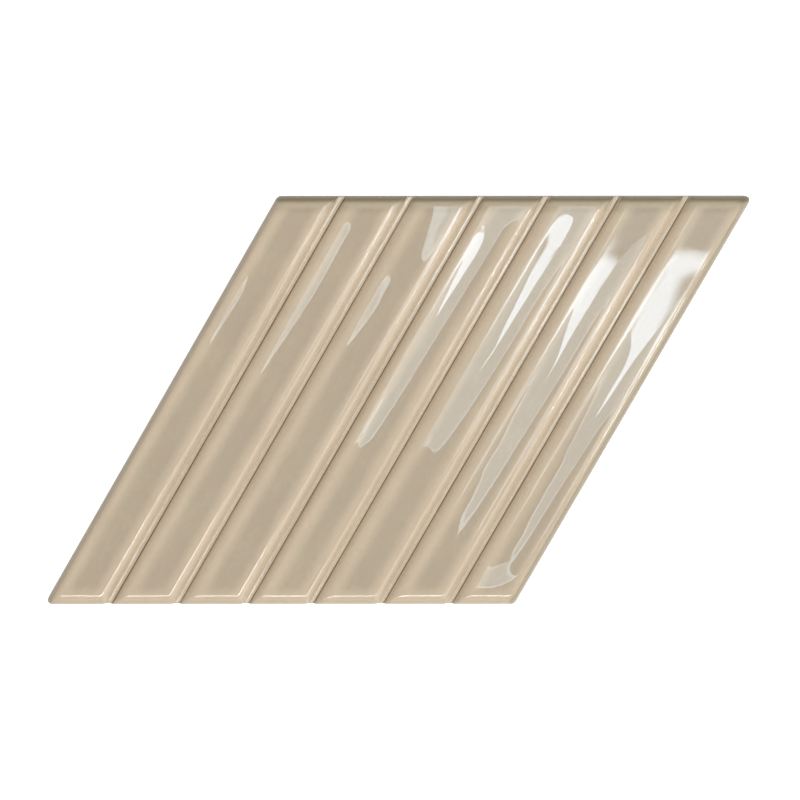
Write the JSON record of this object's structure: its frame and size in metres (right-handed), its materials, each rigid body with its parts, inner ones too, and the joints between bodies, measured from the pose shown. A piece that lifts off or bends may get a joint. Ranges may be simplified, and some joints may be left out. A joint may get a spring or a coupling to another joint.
{
  "type": "ceramic wall tile",
  "caption": "Rhombus wall tile with raised, dished bars parallel to one pair of its sides, and a keyed back.",
  "frame": {"origin": "middle of the back, on the plane of its ribs", "axes": "+Z out of the glazed face, +X along the two sides that cut across the bars, and the bars run at 60 degrees to +X, towards +Y"},
  "size_m": [0.2258, 0.1316, 0.0084],
  "materials": {
    "taupe_glaze": "gloss glaze on the face, bare fired clay on the sides and back"
  },
  "bodies": {
    "root": {"wall_tile": "taupe_glaze"}
  },
  "joints": []
}
